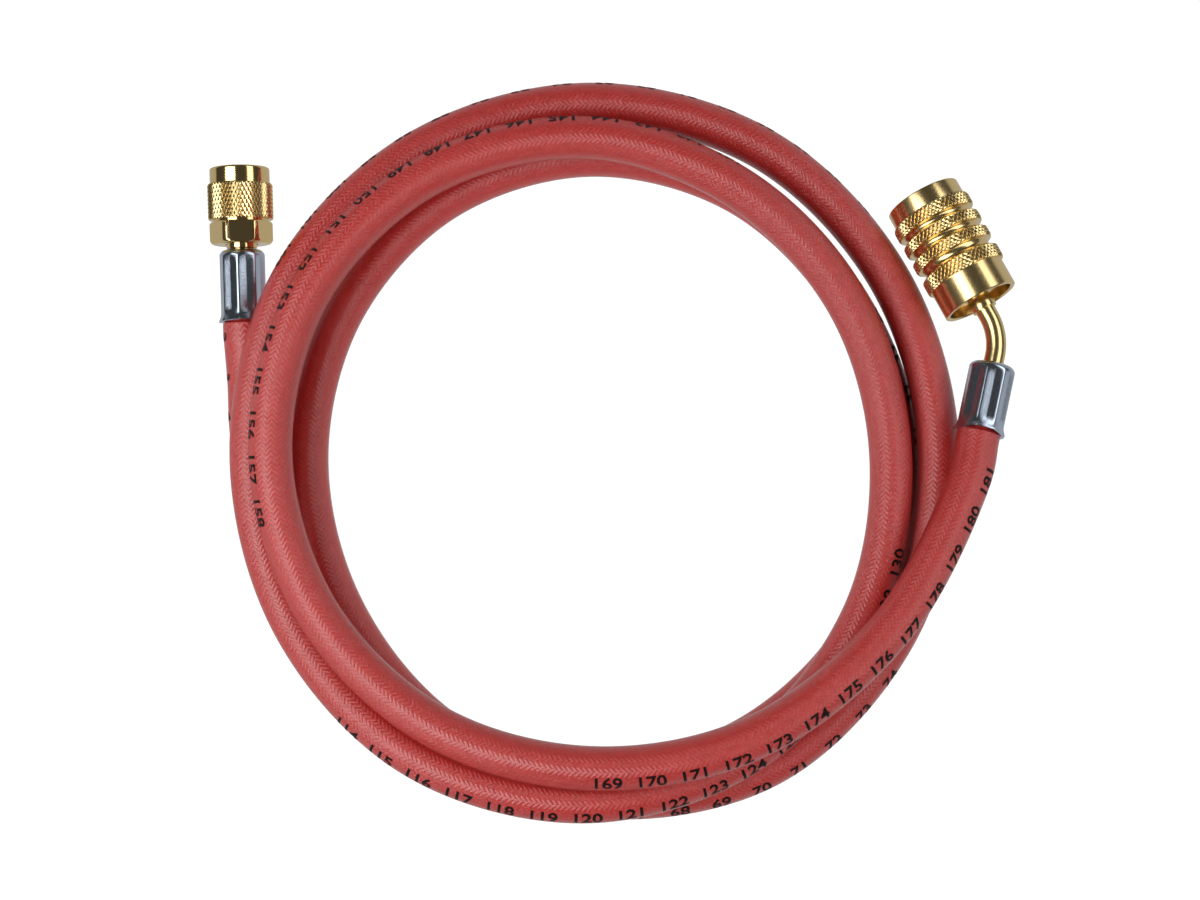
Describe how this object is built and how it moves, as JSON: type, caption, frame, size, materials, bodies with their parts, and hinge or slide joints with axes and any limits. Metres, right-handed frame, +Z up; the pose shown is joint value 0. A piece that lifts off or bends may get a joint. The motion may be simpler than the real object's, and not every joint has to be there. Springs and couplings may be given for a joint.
{
  "type": "refrigerant charging hose",
  "caption": "Coiled red rubber refrigerant charging hose with a knurled brass swivel nut on one end and a bent brass coupler with a knurled sleeve on the other.",
  "frame": {"origin": "on the table, at the middle of the box round the whole coiled hose", "axes": "+Z up, through the coil's thickness; +Y the way the straight nut end points; +X towards the coupler end"},
  "size_m": [0.2002, 0.1824, 0.0402],
  "materials": {
    "hose_rubber": "satin red rubber with a fine braid showing through",
    "gasket_rubber": "plain black rubber",
    "brass": "machined and polished brass",
    "plated_steel": "bright plated, crimped"
  },
  "bodies": {
    "hose": {"hose": "hose_rubber", "nut_end_ferrule": "plated_steel", "nut_end_stem": "brass", "nut_gasket": "gasket_rubber", "coupler_end_ferrule": "plated_steel", "bent_stem": "brass", "coupler_body": "brass", "coupler_gasket": "gasket_rubber", "core_depressor": "brass"},
    "nut": {"swivel_nut": "brass"},
    "sleeve": {"coupler_sleeve": "brass"}
  },
  "joints": [
    {"name": "nut_swivel", "type": "hinge", "parent": "hose", "child": "nut", "pos_m": [-0.09146, 0.051, 0.0081], "axis": [-0.0314, 0.9995, 0], "continuous": true},
    {"name": "sleeve_swivel", "type": "hinge", "parent": "hose", "child": "sleeve", "pos_m": [0.09178, 0.03545, 0.01567], "axis": [-0.4393, 0.8697, -0.225], "continuous": true}
  ]
}
